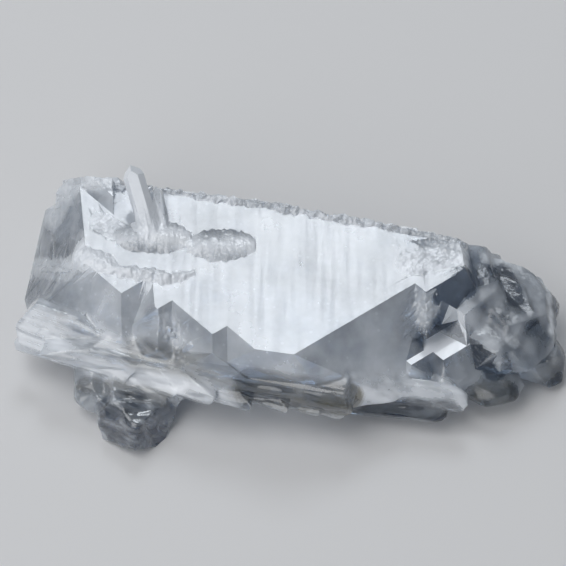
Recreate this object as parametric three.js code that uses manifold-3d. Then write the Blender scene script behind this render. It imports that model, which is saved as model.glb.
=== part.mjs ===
// Faden quartz cluster: a row of flat quartz crystals that grew side by side along one line, so that
// their faces are parallel and their large upper faces lie in one plane. Long blades and a stubby
// clear crystal grew along the front edge, small crystals roughen the back edge and two patches of
// the large face, and a pair of slim prisms leans out of one patch. It grew together as one solid.
// Millimetres, +Z up, +X along the row, the front towards -Y, resting on the lower faces at Z = 0.
import * as THREE from "three";
import { ConvexGeometry } from "three/addons/geometries/ConvexGeometry.js";
import { mergeVertices } from "three/addons/utils/BufferGeometryUtils.js";
import Module from "manifold-3d";

const wasm = await Module();
wasm.setup();

// Driving dimensions
const TOP = 17; // the large upper face, above the base
const GIRDLE = 6.5; // where the upper faces meet those that turn in underneath
const BACK_EDGE = 10; // the large face's straight back edge, in Y
const UNDERCUT = 38; // slope of the faces under the girdle, degrees
const LEDGE_ROLL = 50; // how far the front blades' broad faces lean towards the front, degrees
const RHOMB_SLOPE = 51.8; // slope of quartz's pyramid faces from the plane across its axis, degrees
const BLOCK = 240; // the block that each crystal is cut from
const ROOT = 1.2; // how deep a seam's foot reaches into the crystal that it lies on
const BLUNT = 0.38; // how full a seam's ends are: 1 tapers like a spindle, 0 is cut off square
const HAIRLINE = 0.02; // slivers thinner than this are joined to the faces beside them

// Habit: where each upper face looks in plan and its slope from the level, in degrees
const HABIT = {
  left: [198, 46],
  leftWall: [184, 80],
  leftFront: [-125, 50],
  front: [-88, 82],
  frontRight: [-67, 70],
  rightFront: [-41, 45],
  right: [18, 58],
  rightWall: [12, 84],
  backRight: [55, 55],
  back: [92, 64],
  backLeft: [139, 58],
};

const UP = new THREE.Vector3(0, 0, 1);
const rad = THREE.MathUtils.degToRad;
const vec = (p) => new THREE.Vector3(...p);

// A repeatable random number from low to high.
let seed = 21;
function between(low, high) {
  seed = (seed * 16807) % 2147483647;
  return low + ((high - low) * seed) / 2147483647;
}

// The direction that looks to an azimuth in plan, tilted up from the level by an elevation.
function direction(azimuth, elevation) {
  const flat = Math.cos(rad(elevation));
  return new THREE.Vector3(
    flat * Math.cos(rad(azimuth)),
    flat * Math.sin(rad(azimuth)),
    Math.sin(rad(elevation)),
  );
}

const facing = (normal, point) =>
  new THREE.Plane().setFromNormalAndCoplanarPoint(normal.clone().normalize(), point);

// A closed geometry as a solid for joining and cutting.
function solidOf(geometry) {
  geometry.deleteAttribute("normal");
  geometry.deleteAttribute("uv");
  const merged = mergeVertices(geometry);
  return new wasm.Manifold(
    new wasm.Mesh({
      numProp: 3,
      vertProperties: merged.attributes.position.array,
      triVerts: new Uint32Array(merged.index.array),
    }),
  );
}

const block = solidOf(new THREE.BoxGeometry(BLOCK, BLOCK, BLOCK));

// One crystal: the block cut by flat faces that look outwards, after a placement.
function cutCrystal(faces, placement = new THREE.Matrix4()) {
  return faces.reduce((solid, face) => {
    const placed = face.clone().applyMatrix4(placement);
    return solid.trimByPlane(placed.normal.clone().negate().toArray(), placed.constant);
  }, block);
}

// Turns about a point by three angles in degrees, for crystals slightly out of parallel.
function leanAbout(point, angles) {
  const turn = new THREE.Euler(...angles.map(rad));
  return new THREE.Matrix4()
    .makeTranslation(...point)
    .multiply(new THREE.Matrix4().makeRotationFromEuler(turn))
    .multiply(new THREE.Matrix4().makeTranslation(...point.map((c) => -c)));
}

// A flat crystal of the row. Each side is the habit face of that name through a plan point of the
// upper face, and turns in below the girdle.
function tabular({ top = TOP, girdle = GIRDLE, bottom = 0, sides, lean = [0, 0, 0] }) {
  const faces = [facing(UP, vec([0, 0, top])), facing(UP.clone().negate(), vec([0, 0, bottom]))];
  for (const [name, [x, y]] of Object.entries(sides)) {
    const [azimuth, slope] = HABIT[name];
    const edge = vec([x, y, top]);
    const reach = (top - girdle) / Math.tan(rad(slope));
    const widest = edge.clone().addScaledVector(direction(azimuth, 0), reach).setZ(girdle);
    faces.push(facing(direction(azimuth, 90 - slope), edge));
    faces.push(facing(direction(azimuth, UNDERCUT - 90), widest));
  }
  const [pivot] = Object.values(sides);
  return cutCrystal(faces, leanAbout([...pivot, girdle], lean));
}

// Places a crystal drawn along +X so that it runs from one point to another, rolled about that line.
function along(from, to, roll) {
  const axis = vec(to).sub(vec(from)).normalize();
  const side = UP.clone().cross(axis).normalize();
  const turn = new THREE.Matrix4().makeBasis(axis, side, axis.clone().cross(side));
  return new THREE.Matrix4()
    .makeTranslation(...from)
    .multiply(turn)
    .multiply(new THREE.Matrix4().makeRotationX(rad(roll)));
}

// A long flat blade with six sides and a slanting far end. A taper above one draws its start out to a
// point, so that it rises out of what it grew on.
function blade({
  from, to, width, thick, roll = LEDGE_ROLL, startSlant = 25, endSlant = 55, bevel = 62, taper = 0.5,
}) {
  const length = vec(to).distanceTo(vec(from));
  const faces = [];
  for (const side of [1, -1]) {
    faces.push(facing(UP.clone().multiplyScalar(side), vec([0, 0, (side * thick) / 2])));
    for (const half of [1, -1]) {
      const normal = new THREE.Vector3(0, side * Math.sin(rad(bevel)), half * Math.cos(rad(bevel)));
      faces.push(facing(normal, vec([0, (side * width) / 2, 0])));
    }
  }
  for (const half of [1, -1]) {
    const root = new THREE.Vector3(-1, half * taper, half * 0.6 * taper);
    faces.push(facing(root, vec([0, (half * width) / 5, 0])));
  }
  faces.push(facing(direction(endSlant, 20), vec([length, 0, 0])));
  faces.push(facing(direction(-startSlant, -30), vec([length, 0, 0])));
  return cutCrystal(faces, along(from, to, roll));
}

// A quartz prism: six sides that end in six pyramid faces, every second one set back. A flat below
// one squeezes it from above and below.
function prism({ from, to, radius, roll = 0, setBack = 0.25, flat = 1 }) {
  const length = vec(to).distanceTo(vec(from));
  const faces = [facing(new THREE.Vector3(-1, 0, 0), vec([0, 0, 0]))];
  for (let k = 0; k < 6; k += 1) {
    const out = new THREE.Vector3(0, Math.cos(rad(60 * k + roll)), Math.sin(rad(60 * k + roll)));
    faces.push(facing(out, out.clone().multiplyScalar(radius * Math.hypot(out.y, flat * out.z))));
    const slant = out.clone().multiplyScalar(Math.sin(rad(RHOMB_SLOPE)));
    slant.x = Math.cos(rad(RHOMB_SLOPE));
    const apex = length + (k % 2) * setBack * radius;
    faces.push(facing(slant, vec([apex, 0, 0])));
  }
  return cutCrystal(faces, along(from, to, 0));
}

// A small broken lump, as the crusts are made of.
function nodule(centre, size) {
  const corners = Array.from({ length: 11 }, () => {
    const out = direction(between(0, 360), between(-70, 80)).multiplyScalar(size * between(0.4, 0.6));
    return out.add(vec(centre));
  });
  return solidOf(new ConvexGeometry(corners));
}

// Lumps scattered along a line, low enough to read as a skin on the crystal.
function crust({ line, count, spread, size, height }) {
  const path = new THREE.CatmullRomCurve3(line.map(vec));
  return Array.from({ length: count }, (_, k) => {
    const p = path.getPointAt((k + 0.5) / count);
    const lump = between(...size);
    p.x += between(-0.5, 0.5) * spread[0];
    p.y += between(-0.5, 0.5) * spread[1];
    p.z += between(...height) - lump / 3;
    return nodule(p.toArray(), lump);
  });
}

// A low healed seam: short hulls from cross-section to cross-section of a line, uneven by a share of
// its half width and height.
function seam({ line, steps, half, height, jag }) {
  const path = new THREE.CatmullRomCurve3(line.map(vec));
  const sections = Array.from({ length: steps + 1 }, (_, k) => {
    const middle = path.getPointAt(k / steps);
    const across = path.getTangentAt(k / steps).setZ(0).normalize().cross(UP);
    const swell = Math.sin(Math.PI * THREE.MathUtils.clamp(k / steps, 0.04, 0.96)) ** BLUNT;
    const crest = middle.clone().addScaledVector(across, half * swell * between(-jag, jag));
    return [
      middle.clone().addScaledVector(across, half * swell * between(1 - jag, 1 + jag)),
      middle.clone().addScaledVector(across, -half * swell * between(1 - jag, 1 + jag)),
      crest.addScaledVector(UP, height * swell * between(1 - jag, 1 + jag)),
      middle.clone().addScaledVector(UP, -ROOT),
    ];
  });
  return sections.slice(1).map((section, k) => solidOf(new ConvexGeometry([...sections[k], ...section])));
}

// The row of flat crystals, from left to right. Their upper faces share one plane and flash together;
// each one ends at the front in a point, with a notch between it and the next. The last is a small
// crystal that stands on the back edge of the first.
const row = [
  {
    sides: {
      left: [-34.4, 7.5], leftWall: [-38.8, 0], leftFront: [-23.1, -11.7], front: [-23, -16.6],
      rightFront: [-23.1, -11.7], right: [-12, 0], back: [-30, 9.6], backLeft: [-34, 9],
    },
  },
  {
    sides: {
      left: [-17.6, -12.6], leftFront: [-16.9, -13.6], front: [-16, -17.8], rightFront: [-16.9, -13.6],
      right: [-6, 0], back: [-20, BACK_EDGE + 0.7], leftWall: [-30, 0],
    },
  },
  {
    sides: {
      left: [-20, 0], leftFront: [-7.5, -16.8], front: [-8, -18.8], rightFront: [-7.5, -16.8],
      right: [4, 0], back: [-10, BACK_EDGE],
    },
  },
  {
    sides: {
      left: [-12, 0], leftFront: [-0.5, -18.3], front: [2.5, -18.2], frontRight: [12.8, -15],
      rightFront: [5.6, -18], rightWall: [21.5, 0.3], back: [5, BACK_EDGE + 0.3],
    },
  },
  {
    sides: {
      left: [8, 0], leftFront: [22.6, -1.4], rightFront: [24.6, 0.2], right: [27.6, 5.6],
      rightWall: [31, 5], back: [17, BACK_EDGE - 0.2],
    },
    girdle: 12.4,
  },
  {
    top: 18.8, girdle: 14, bottom: 8,
    sides: { leftFront: [-29.6, 6.6], rightWall: [-28.7, 6], back: [-30, 9.6], left: [-32.6, 8] },
  },
];

// The left end, a step below the large face, with its rounded back corner.
const leftEnd = [
  {
    top: 15.6, girdle: 10, bottom: 2, lean: [-6, -4, 8],
    sides: {
      left: [-36.4, 8.5], leftWall: [-38.2, 8], leftFront: [-34, 3], rightFront: [-30, 2],
      right: [-28, 9], back: [-34, 10.8], backLeft: [-37, 10],
    },
  },
  {
    top: 10.8, girdle: 7, bottom: 2, lean: [3, 2, -4],
    sides: {
      left: [-36, -6], leftWall: [-37.2, -8], leftFront: [-31, -12.5], front: [-30, -15],
      right: [-20, -4], back: [-30, 6],
    },
  },
];

// The right end: lower crystals, a little out of parallel, around the end of the row. The second and
// third share one small level face that flashes with the large one.
const rightEnd = [
  {
    top: 13.4, girdle: 6, lean: [4, 5, 8],
    sides: {
      leftFront: [28.9, -1.6], rightFront: [29.5, -0.4], right: [33.5, 5], back: [26, 12], left: [14, 2],
      rightWall: [37, 0],
    },
  },
  {
    top: 10, girdle: 5.5, bottom: 1,
    sides: {
      left: [20, -4], leftFront: [26.3, -8.2], rightFront: [28.6, -7.3], right: [31.4, -4], back: [26, 4],
      frontRight: [28, -11],
    },
  },
  {
    top: 10, girdle: 5, bottom: 1.5,
    sides: {
      left: [18, -10], leftFront: [22.7, -10.9], frontRight: [24.4, -10.4], rightFront: [24, -9.2],
      right: [29, -6], back: [22, 0],
    },
  },
  {
    top: 12.6, girdle: 8, bottom: 3, lean: [-5, 6, -9],
    sides: {
      left: [27, 6], leftFront: [32, 2.5], rightFront: [39, 1.5], right: [41.4, 5], rightWall: [43.2, 4],
      backRight: [37.2, 11.4], back: [32, 12.6], backLeft: [28, 12],
    },
  },
  {
    top: 10.6, girdle: 6, bottom: 1, lean: [6, -3, 10],
    sides: {
      left: [28, -4], leftFront: [32.6, -5.4], front: [34, -7.4], rightFront: [37.6, -4], right: [41, 0],
      rightWall: [43, 0], backRight: [40, 5], back: [34, 8],
    },
  },
  {
    top: 7.6, girdle: 4.2, bottom: 1.2, lean: [6, 10, -6],
    sides: {
      left: [30, -2], leftFront: [37, -2.4], front: [40, -2.8], rightFront: [43, 0.4], right: [44.2, 0.8],
      rightWall: [45.2, 0], backRight: [43, 3], back: [36, 6],
    },
  },
  {
    top: 6.6, girdle: 4.6, bottom: 2.2, lean: [8, 6, 22],
    sides: {
      left: [28, -8], leftFront: [33.6, -12.6], front: [35, -13.4], rightFront: [37, -11.6],
      right: [38.4, -9.6], back: [34, -4],
    },
  },
];

// The hidden back slope: lower crystals of the same habit, stepping down behind the large face.
const backSlope = [
  {
    top: 12.5, girdle: 7,
    sides: { left: [-27, 9], backLeft: [-22, 13.4], back: [-18, 14], right: [-14, 12], front: [-20, 0] },
  },
  {
    top: 13.6, girdle: 6, lean: [2, 0, 5],
    sides: { left: [-11, 8], back: [-4, 12.6], backRight: [1, 12.4], right: [3, 10], front: [-4, 0] },
  },
  {
    top: 10.8, girdle: 5.5,
    sides: {
      left: [-2, 10], backLeft: [3, 14.4], back: [8, 14.8], backRight: [12, 14], right: [15, 11],
      front: [6, 0],
    },
  },
  {
    top: 12.2, girdle: 6.4, lean: [-3, 2, -6],
    sides: { left: [11, 8], back: [18, 13.2], backRight: [22, 13], right: [26, 9], front: [18, 0] },
  },
  {
    top: 8, girdle: 5, lean: [0, 3, 8],
    sides: {
      left: [-24, 8], backLeft: [-14, 16], back: [-11, 16.4], backRight: [-7, 15.6], right: [-4, 12],
      front: [-12, 0],
    },
  },
];

// Long blades along the front edge: the left plate with a strip under it, the rounded finger that
// runs to the right, a narrow strip above it, the teeth of the lower edge, and the low right plate with
// the pale band above it.
const ledges = [
  { from: [-38.4, -13.8, 9], to: [-19, -18.3, 9.2], width: 8.6, thick: 3, endSlant: 70 },
  { from: [-36, -15.6, 7.6], to: [-6, -20.8, 8.4], width: 5.4, thick: 3, roll: 54, endSlant: 65 },
  { from: [-38.8, -15.4, 6.8], to: [-12, -20.6, 7.8], width: 5, thick: 2.4, roll: 56 },
  {
    from: [-30, -17.6, 9], to: [15.2, -18.2, 8.8], width: 7.4, thick: 4.4, roll: 62, endSlant: 20,
    bevel: 40, taper: 3,
  },
  { from: [-12, -17, 13], to: [5, -17.4, 13], width: 3.4, thick: 2, roll: 70 },
  { from: [-33, -16.4, 7.8], to: [-10.4, -20.2, 7.6], width: 4.4, thick: 2.4, roll: 60 },
  { from: [-18, -17.8, 8], to: [-0.4, -20.5, 7.3], width: 4.6, thick: 2.2, roll: 58 },
  { from: [-7, -17.6, 7.8], to: [5.4, -19.9, 7.2], width: 4, thick: 2.4, roll: 56 },
  { from: [-2, -17.2, 7.8], to: [10.6, -19.3, 7.2], width: 4.2, thick: 2.2, roll: 54 },
  { from: [3, -16.6, 7.8], to: [14.4, -18.7, 7], width: 5, thick: 2.6, endSlant: 25 },
  { from: [10, -14.2, 7], to: [32.6, -12.8, 6], width: 4.8, thick: 1.7, roll: 56, endSlant: 40, bevel: 40 },
  { from: [11, -15, 4], to: [29.4, -13.8, 3.8], width: 4.4, thick: 2.4, roll: 52, startSlant: 50 },
];

// Shorter blades along the hidden back edge, leaning the other way.
const backBlades = [
  { from: [-34, 10.4, 8.4], to: [-14, 13.2, 9.6], width: 4.6, thick: 2.2, roll: -50 },
  { from: [-27, 12.4, 6.6], to: [2, 15, 7.6], width: 6, thick: 2.6, roll: -54 },
  { from: [0, 13.4, 5.4], to: [25, 13.4, 7.4], width: 5.4, thick: 2.4, roll: -58 },
];

// The stubby clear crystal under the ledge, with a spur on its left and a stained nub on its right.
const knob = [
  { from: [-20.6, -14.5, 4.4], to: [-16.8, -30.6, 2], radius: 6.1, roll: 22, setBack: 0.5, flat: 0.62 },
  { from: [-26.6, -15.5, 5], to: [-24.6, -25.4, 2.8], radius: 3.2, roll: 5, setBack: 0.4, flat: 0.8 },
  { from: [-15, -15.5, 4.8], to: [-14.4, -24, 3], radius: 2.6, roll: 40, setBack: 0.5, flat: 0.8 },
  { from: [-12.8, -17, 6], to: [-11.8, -21.4, 4.8], radius: 1.2 },
];

// A slim prism and a thinner one beside it, leaning back out of the rough patch.
const prisms = [
  { from: [-20.2, -0.6, 14.6], to: [-26.4, 8.9, 23.4], radius: 1.45, roll: 12, setBack: 0.8 },
  { from: [-18.6, 0.2, 15], to: [-22.6, 9.2, 19.2], radius: 1, roll: 30 },
];

const seams = [
  // The oval healed patch beside the prisms, and the one that they stand in
  {
    line: [[-15.4, -0.1, TOP], [-10, 1.1, TOP], [-4.8, 2.2, TOP]],
    steps: 24, half: 3.4, height: 0.9, jag: 0.1,
  },
  {
    line: [[-26.6, -1, TOP], [-20.8, 0.5, TOP], [-15, 1.2, TOP]],
    steps: 26, half: 3.5, height: 1.1, jag: 0.1,
  },
  // The jagged ridge in front of them, with the broad wing that it starts from
  {
    line: [[-27.6, -6, TOP], [-24.4, -7.4, TOP], [-19.2, -7.3, TOP], [-16.7, -7.5, TOP], [-12.8, -5.2, TOP]],
    steps: 24, half: 1.4, height: 1.1, jag: 0.3,
  },
  {
    line: [[-31.6, -4.5, TOP], [-28.4, -6, TOP], [-24.9, -7.6, TOP]],
    steps: 10, half: 2, height: 0.7, jag: 0.25,
  },
  // The bumpy back edge of the large face
  {
    line: [[-33, 9.4, TOP], [-10, 10.4, TOP], [10, 10.2, TOP], [26, 9.7, TOP]],
    steps: 70, half: 0.8, height: 0.5, jag: 0.7,
  },
  // The rough step on the left end
  {
    line: [[-39.4, -2.6, 8.6], [-36, -4.6, 11.5], [-32.6, -6.6, 14.2]],
    steps: 12, half: 1.1, height: 0.6, jag: 0.2,
  },
];

const crusts = [
  // Lumps on the back edge, and the sparkling patch at the right end of the large face
  {
    line: [[-33, 10, TOP], [-10, 10.8, TOP], [10, 10.6, TOP], [26, 10, TOP]],
    count: 64, spread: [0.9, 0.9], size: [0.7, 1.6], height: [-0.3, 0.2],
  },
  {
    line: [[20, 4, TOP], [24, 5.6, TOP], [27, 6.6, TOP - 0.4]],
    count: 22, spread: [3.4, 5.6], size: [0.8, 1.6], height: [-0.2, 0.2],
  },
  // The rounded back corner at the left
  {
    line: [[-38.2, 5.6, 13], [-36.8, 9.8, 15.2], [-31.6, 10.6, 16.2]],
    count: 13, spread: [0.8, 0.8], size: [2.6, 4.2], height: [-0.9, 0],
  },
  // The small crystal's crusted back edge, and the fringe of the patch in front of it
  {
    line: [[-32.4, 9.4, 18], [-27.2, 8.8, 17.2]],
    count: 12, spread: [1, 1], size: [1.2, 2.2], height: [-0.4, 0.2],
  },
  {
    line: [[-29.8, 1.8, TOP], [-27, 0.6, TOP]],
    count: 11, spread: [1, 2.2], size: [0.8, 1.5], height: [-0.3, 0.1],
  },
  // Broken edge round the right end
  {
    line: [[32.4, 12.4, 11], [38.6, 10, 10], [42.4, 4.6, 8.6], [43.8, -0.8, 6.4]],
    count: 20, spread: [1, 1], size: [1.6, 2.8], height: [-1, -0.4],
  },
  // A small drusy spot on the left front face
  {
    line: [[-15.4, -14.4, 15.2], [-13, -16, 13.6]],
    count: 12, spread: [1.4, 1.2], size: [0.9, 1.6], height: [-0.2, 0.3],
  },
];

// Everything grown together as one solid, flat where it lies.
const crystals = [
  ...[...row, ...leftEnd, ...rightEnd, ...backSlope].map(tabular),
  ...[...ledges, ...backBlades].map(blade),
  ...[...knob, ...prisms].map(prism),
  ...seams.flatMap(seam),
  ...crusts.flatMap(crust),
];
const grownTogether = wasm.Manifold.union(crystals).trimByPlane(UP.toArray(), 0);
// Pockets closed in between the crystals are separate inner skins; the largest skin is the outside.
const [outside] = grownTogether.decompose().sort((a, b) => b.volume() - a.volume());

// The solid's geometry, with the middle of its base at the origin.
function geometryOf(solid) {
  const { vertProperties, triVerts } = solid.getMesh();
  const geometry = new THREE.BufferGeometry();
  geometry.setAttribute("position", new THREE.BufferAttribute(vertProperties, 3));
  geometry.setIndex(new THREE.BufferAttribute(triVerts, 1));
  geometry.computeBoundingBox();
  const { min, max } = geometry.boundingBox;
  geometry.translate(-(min.x + max.x) / 2, -(min.y + max.y) / 2, -min.z);
  geometry.computeVertexNormals();
  return geometry;
}

const quartz = new THREE.MeshStandardMaterial({ color: 0xc9d0da, roughness: 0.12, metalness: 0 });

const cluster = new THREE.Group();
const clusterMesh = new THREE.Mesh(geometryOf(outside.asOriginal().simplify(HAIRLINE)), quartz);
clusterMesh.name = "quartz_cluster";
cluster.add(clusterMesh);

export default cluster;
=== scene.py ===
"""Dresses the faden quartz cluster: real relief over the crystals, and a clear to milky finish."""

import logging
import math
from dataclasses import dataclass, field
from enum import Enum

import bpy
import numpy as np
from mathutils import Euler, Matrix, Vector


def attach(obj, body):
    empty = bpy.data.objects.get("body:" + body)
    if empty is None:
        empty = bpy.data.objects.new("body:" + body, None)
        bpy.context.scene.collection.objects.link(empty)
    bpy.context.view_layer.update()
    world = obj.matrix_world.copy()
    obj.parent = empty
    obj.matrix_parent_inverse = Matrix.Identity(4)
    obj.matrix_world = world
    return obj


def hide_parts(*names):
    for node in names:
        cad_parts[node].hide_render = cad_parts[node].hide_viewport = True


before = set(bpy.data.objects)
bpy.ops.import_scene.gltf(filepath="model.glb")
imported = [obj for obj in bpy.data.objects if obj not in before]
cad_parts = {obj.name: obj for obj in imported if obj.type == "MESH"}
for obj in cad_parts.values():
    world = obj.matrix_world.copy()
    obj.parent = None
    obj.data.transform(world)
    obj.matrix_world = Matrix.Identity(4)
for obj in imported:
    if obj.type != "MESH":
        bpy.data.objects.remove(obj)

LOG = logging.getLogger("quartz")
MM = 0.001
NODE = "quartz_cluster"
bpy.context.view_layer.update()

Point = tuple[float, float, float]
Colour = tuple[float, float, float]
Line = tuple[Point, ...]
Socket = bpy.types.NodeSocket


class Zone(Enum):
    """A stretch of the skin with relief of its own; the value names its vertex group."""

    PLATE = "plate"
    FINGER = "finger"
    BAND = "band"
    PATCH = "patch"
    SEAM = "seam"
    SPARKLE = "sparkle"
    STEP = "step"
    EDGE = "edge"
    RIM = "rim"
    END = "end"
    STUB = "stub"
    BACK = "back"
    CRACK = "crack"


class Look(Enum):
    """Something that the finish does in places only; the value names its attribute."""

    FROST = "frost"
    MILK = "milk"
    CLEAR = "clear"
    STAIN = "stain"
    GLASS = "glass"
    FIBRE = "fibre"
    FLASH = "flash"


class Weave(Enum):
    """The procedural texture that a relief is drawn from."""

    CLOUDS = "clouds"
    SCOOPS = "scoops"
    POINTS = "points"


@dataclass(frozen=True)
class Track:
    """A line of points in millimetres with a soft tube round it, which says where something is.

    Attributes:
        points: The line's points.
        radius: Full weight inside this distance.
        fade: The distance over which the weight falls to nothing.
        strength: The weight inside.
    """

    points: Line
    radius: float
    fade: float = 1.2
    strength: float = 1.0

    def weights(self, places: np.ndarray) -> np.ndarray:
        """Finds how far places are in the tube.

        Args:
            places: Points in millimetres, one a row.

        Returns:
            A weight for each place, from 0 to the track's strength.
        """
        near = np.full(len(places), np.inf)
        for start, stop in zip(self.points, self.points[1:]):
            a, run = np.array(start), np.subtract(stop, start)
            along = np.clip((places - a) @ run / (run @ run), 0.0, 1.0)
            near = np.minimum(near, np.linalg.norm(places - a - along[:, None] * run, axis=1))
        share = np.clip((self.radius + self.fade - near) / self.fade, 0.0, 1.0)
        return self.strength * share * share * (3.0 - 2.0 * share)


def weights_of(tracks: tuple[Track, ...], places: np.ndarray) -> np.ndarray:
    """Joins tracks: at each place the strongest of them counts.

    Args:
        tracks: The tracks.
        places: Points in millimetres, one a row.

    Returns:
        A weight for each place.
    """
    return np.max([track.weights(places) for track in tracks], axis=0)


LEFT_PLATE: Line = ((-40.5, -8.7, 9), (-21.1, -13.2, 9.2), (-8.1, -15.5, 8.4))
MILKY_PLATE: Line = ((-40.5, -8.7, 9), (-24, -12.6, 9.2))
LEFT_CREST: Line = ((-34, -12.8, 8.6), (-26, -14.9, 8.1), (-14.6, -15.8, 9.1))
FINGER: Line = ((-32.1, -12.5, 9), (13.1, -13.1, 8.8))
FINGER_BODY: Line = ((-3, -14.6, 9.6), (10, -13.8, 9))
FINGER_END: Line = ((9, -13.6, 8.8), (12, -13.4, 8.6))
OLIVE_BAND: Line = ((-21.2, -13.2, 11.3), (-13.8, -14, 11.8), (-6.5, -14.3, 11.3))
PALE_BAND: Line = ((7.9, -9.3, 7.4), (30.9, -8.3, 6.2))
PALE_EDGE: Line = ((14.2, -11.7, 8.7), (19.9, -9.9, 6.6), (26.2, -9.3, 5.7), (29.4, -9.1, 5.5))
LOW_PLATE: Line = ((8.9, -9.9, 4), (27.3, -8.7, 3.8))
OVAL_PATCH: Line = ((-17.5, 5, 17.3), (-12.1, 6.2, 17.3), (-6.9, 7.3, 17.3))
OVAL_ROOT: Line = ((-17.5, 5, 15.4), (-12.1, 6.2, 15.4), (-6.9, 7.3, 15.4))
LEFT_PATCH: Line = ((-28.7, 4.1, 17.3), (-22.9, 5.6, 17.3), (-17.1, 6.3, 17.3))
LEFT_ROOT: Line = ((-28.7, 4.1, 15.4), (-22.9, 5.6, 15.4), (-17.1, 6.3, 15.4))
OVAL_SLOPE: Line = ((-17, 7.6, 17.6), (-12.1, 8.8, 17.6), (-7.6, 9.6, 17.6))
LEFT_SLOPE: Line = ((-28.1, 5.3, 17.3), (-25.1, 6.3, 17.7), (-21.8, 8.4, 17.5), (-17.6, 8.9, 17.6))
OVAL_FOOT: Line = ((-14.4, 3.7, 17.3), (-8.1, 4.6, 17))
LEFT_FOOT: Line = ((-27, 2.8, 17.2), (-22.1, 2.4, 17.1))
PATCH_TINT: Line = ((-22, 4.6, 18), (-18.6, 5.4, 18))
FRINGE: Line = ((-31.9, 6.9, 17), (-29.1, 5.7, 17))
WING: Line = ((-33.7, 0.6, 17), (-30.5, -0.9, 17), (-27, -2.5, 17))
RIDGE: Line = (
    (-29.7, -0.9, 17),
    (-26.5, -2.3, 17),
    (-21.3, -2.2, 17),
    (-18.8, -2.4, 17),
    (-14.9, -0.1, 17),
)
LEFT_FACET: Line = ((-37.5, 10.5, 15.6), (-38.5, 3.8, 12.2))
LEFT_STEP: Line = ((-41.5, 2.5, 8.6), (-38.1, 0.5, 11.5), (-34.7, -1.5, 14.2))
DRUSY_SPOT: Line = ((-17.5, -9.3, 15.2), (-15.1, -10.9, 13.6))
SPARKLING_PATCH: Line = ((17.9, 9.1, 17), (21.9, 10.7, 17), (24.9, 11.7, 16.6))
SPARKLING_STEP: Line = ((20.5, 2.6, 15.9), (21.4, 0.2, 14))
BACK_EDGE: Line = ((-35.1, 14.8, 17), (-12.1, 15.7, 17), (7.9, 15.5, 17), (23.9, 15, 17))
SMALL_CREST: Line = ((-34.5, 14.5, 18), (-29.3, 13.9, 17.2))
BACK_CORNER: Line = ((-40.3, 10.7, 13), (-38.9, 14.9, 15.2), (-33.7, 15.7, 16.2))
RIGHT_RIM: Line = ((30.3, 17.5, 11), (36.5, 15.1, 10), (40.3, 9.7, 8.6), (41.7, 4.3, 6.4))
RIM_LINE: Line = (
    (33.5, 16.6, 10.4),
    (37.8, 15.1, 9),
    (39.3, 11.6, 10.1),
    (40.1, 9.7, 9.3),
    (40.7, 6.1, 9.5),
)
BACK_GLINT: Line = ((28.5, 14.7, 14.1), (29.9, 16.5, 11.6), (31.8, 16.6, 11.4))
FRONT_GLINT: Line = ((34.7, 1.6, 11.1), (35.5, 1.6, 10.5))
LOW_GLINT: Line = ((35.4, -0.2, 9.4), (35.8, -0.4, 9))
DARK_SLIT: Line = ((31.3, 15.3, 11.6), (33, 11.7, 12.1), (34.3, 9, 11.9))
DARK_HOLLOW: Line = ((37.7, 4.8, 10.8), (39.5, 4.8, 9.4))
DARK_CLEFT: Line = ((29.8, -0.5, 9.6), (31.1, -1.7, 8.8), (33, -1.7, 6.4))
RIGHT_END: Line = ((31, 12, 9), (36, 7, 8), (40, 3, 6))
RIGHT_FOOT: Line = ((41, 2, 3.5), (42.5, 3, 4))
NUB: Line = ((32.5, -6, 4.5), (35, -5.2, 4.8))
STUB: Line = ((-21.5, -19.5, 3), (-18.9, -25.5, 2), (-16.3, -20.5, 2))
STUB_SHOULDER: Line = ((-28.5, -18, 4), (-25, -18.5, 4))
STUB_BAND: Line = ((-24.2, -21.7, 3.6), (-21.7, -22.5, 4.9), (-19.1, -23.1, 6.2), (-17.2, -21.1, 4.8))
STUB_GLINT: Line = ((-15.4, -19.2, 1.8), (-17.5, -23.1, 1.6), (-19.6, -24.5, 3.1))
STUB_JOIN: Line = (
    (-29.3, -16.8, 5.8),
    (-26.8, -17, 6.3),
    (-22.7, -17.6, 7.4),
    (-18.7, -17.4, 6.8),
    (-16, -17.6, 6.6),
)
BACK_SLOPE: Line = ((-34, 21, 6), (0, 23, 6), (24, 20, 6))
PRISM: Line = ((-22.3, 4.5, 14.6), (-28.5, 14, 23.4))
THIN_PRISM: Line = ((-20.7, 5.3, 15), (-24.7, 14.3, 19.2))
DARK_FACE: Line = ((23.6, 5.2, 15.6), (26, 8, 15.4))
GREY_FACE: Line = ((23.9, 1.2, 13), (25.1, 3.6, 14.1))
CRACK: Line = ((24.5, 3.4, 14.2), (25.6, 2.8, 13), (26.7, 2.1, 11.9), (27.9, 1.1, 11.2))
RIGHT_FRONT: Line = ((24, -1, 9), (30, -2, 8))

LEVEL_SPARKLE: tuple[Track, ...] = (Track(SPARKLING_PATCH, 1.2, 3.0), Track(FRINGE, 1.7, 0.4))


@dataclass(frozen=True)
class Rough:
    """Where a zone of relief is and how fine its skin is.

    Attributes:
        tracks: Where it is.
        edge: The longest edge of its skin, in millimetres.
        soften: How often the skin is smoothed before it gets its relief.
    """

    tracks: tuple[Track, ...]
    edge: float
    soften: int


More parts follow.
